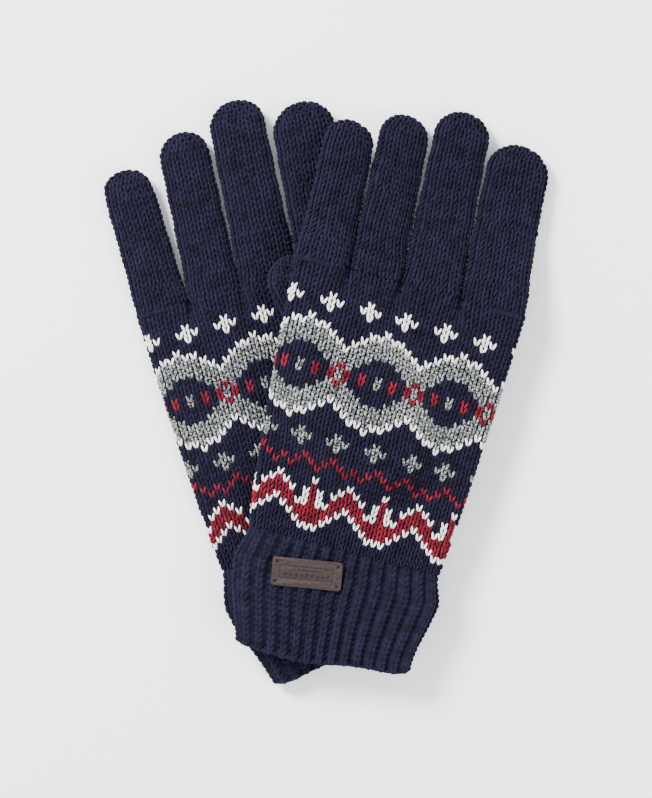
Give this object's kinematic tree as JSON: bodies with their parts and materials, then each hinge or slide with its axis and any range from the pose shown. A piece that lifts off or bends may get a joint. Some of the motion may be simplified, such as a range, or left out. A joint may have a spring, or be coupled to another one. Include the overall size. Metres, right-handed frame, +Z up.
{
  "type": "knitted gloves",
  "caption": "Pair of ribbed-cuff knitted gloves with banded geometric pattern, lying crossed, fingers, thumbs and cuffs that bend, one glove lifting off the other.",
  "frame": {"origin": "middle of the pair on the surface it lies on", "axes": "+Y towards the fingertips, +X towards the index fingers, +Z up from the surface"},
  "size_m": [0.1982, 0.263, 0.0326],
  "materials": {
    "navy_wool": "soft knitted wool, matt",
    "cream_wool": "soft knitted wool, matt",
    "grey_wool": "soft marled wool, matt",
    "red_wool": "soft knitted wool, matt",
    "plate_metal": "antiqued bronze, satin",
    "sewing_thread": "dark sewing thread"
  },
  "bodies": {
    "right_hand": {"right_hand": "navy_wool"},
    "right_cuff": {"right_cuff": "navy_wool"},
    "right_thumb": {"right_thumb": "navy_wool"},
    "right_little": {"right_little": "navy_wool"},
    "right_ring": {"right_ring": "navy_wool"},
    "right_middle": {"right_middle": "navy_wool"},
    "right_index": {"right_index": "navy_wool"},
    "left_hand": {"left_hand": "navy_wool"},
    "left_cuff": {"left_cuff": "navy_wool", "label_plate": "plate_metal", "label_stitches": "sewing_thread"},
    "left_thumb": {"left_thumb": "navy_wool"},
    "left_little": {"left_little": "navy_wool"},
    "left_ring": {"left_ring": "navy_wool"},
    "left_middle": {"left_middle": "navy_wool"},
    "left_index": {"left_index": "navy_wool"}
  },
  "joints": [
    {"name": "left_lift", "type": "slide", "parent": "right_hand", "child": "left_hand", "axis": [0, 0, 1], "range_m": [0, 0.08]},
    {"name": "right_little_bend", "type": "hinge", "parent": "right_hand", "child": "right_little", "pos_m": [-0.07323, 0.03913, 0.0113], "axis": [0.9681, 0.2504, 0], "range_deg": [0, 60]},
    {"name": "right_ring_bend", "type": "hinge", "parent": "right_hand", "child": "right_ring", "pos_m": [-0.04999, 0.04514, 0.0113], "axis": [0.9681, 0.2504, 0], "range_deg": [0, 60]},
    {"name": "right_middle_bend", "type": "hinge", "parent": "right_hand", "child": "right_middle", "pos_m": [-0.0253, 0.05153, 0.0113], "axis": [0.9681, 0.2504, 0], "range_deg": [0, 12]},
    {"name": "right_index_bend", "type": "hinge", "parent": "right_hand", "child": "right_index", "pos_m": [0.00229, 0.05866, 0.0113], "axis": [0.9681, 0.2504, 0], "range_deg": [0, 30]},
    {"name": "right_cuff_bend", "type": "hinge", "parent": "right_hand", "child": "right_cuff", "pos_m": [-0.00415, -0.0686, 0.0109], "axis": [-0.9681, -0.2504, 0], "range_deg": [0, 20]},
    {"name": "left_little_bend", "type": "hinge", "parent": "left_hand", "child": "left_little", "pos_m": [-0.0013, 0.05904, 0.0329], "axis": [0.9659, -0.2588, 0], "range_deg": [0, 45]},
    {"name": "left_ring_bend", "type": "hinge", "parent": "left_hand", "child": "left_ring", "pos_m": [0.02188, 0.05282, 0.02907], "axis": [0.9659, -0.2588, 0], "range_deg": [0, 45]},
    {"name": "left_middle_bend", "type": "hinge", "parent": "left_hand", "child": "left_middle", "pos_m": [0.04652, 0.04622, 0.02262], "axis": [0.9659, -0.2588, 0], "range_deg": [0, 45]},
    {"name": "left_index_bend", "type": "hinge", "parent": "left_hand", "child": "left_index", "pos_m": [0.07404, 0.03885, 0.02223], "axis": [0.9659, -0.2588, 0], "range_deg": [0, 45]},
    {"name": "left_cuff_bend", "type": "hinge", "parent": "left_hand", "child": "left_cuff", "pos_m": [0.00809, -0.06937, 0.0223], "axis": [-0.9659, 0.2588, 0], "range_deg": [0, 30]},
    {"name": "right_thumb_bend", "type": "hinge", "parent": "right_hand", "child": "right_thumb", "pos_m": [0.01987, -0.01771, 0.0211], "axis": [0.8949, 0.4462, 0], "range_deg": [0, 30]},
    {"name": "left_thumb_swing", "type": "hinge", "parent": "left_hand", "child": "left_thumb", "pos_m": [0.05086, -0.03918, 0.0047], "axis": [0, 0, -1], "range_deg": [0, 50]}
  ],
  "couplings": [
    {"joint": "right_index_bend", "follows": "left_lift", "rad_per_m": 6.54},
    {"joint": "right_thumb_bend", "follows": "left_lift", "rad_per_m": 6.54},
    {"joint": "right_cuff_bend", "follows": "left_lift", "rad_per_m": 4.36}
  ]
}
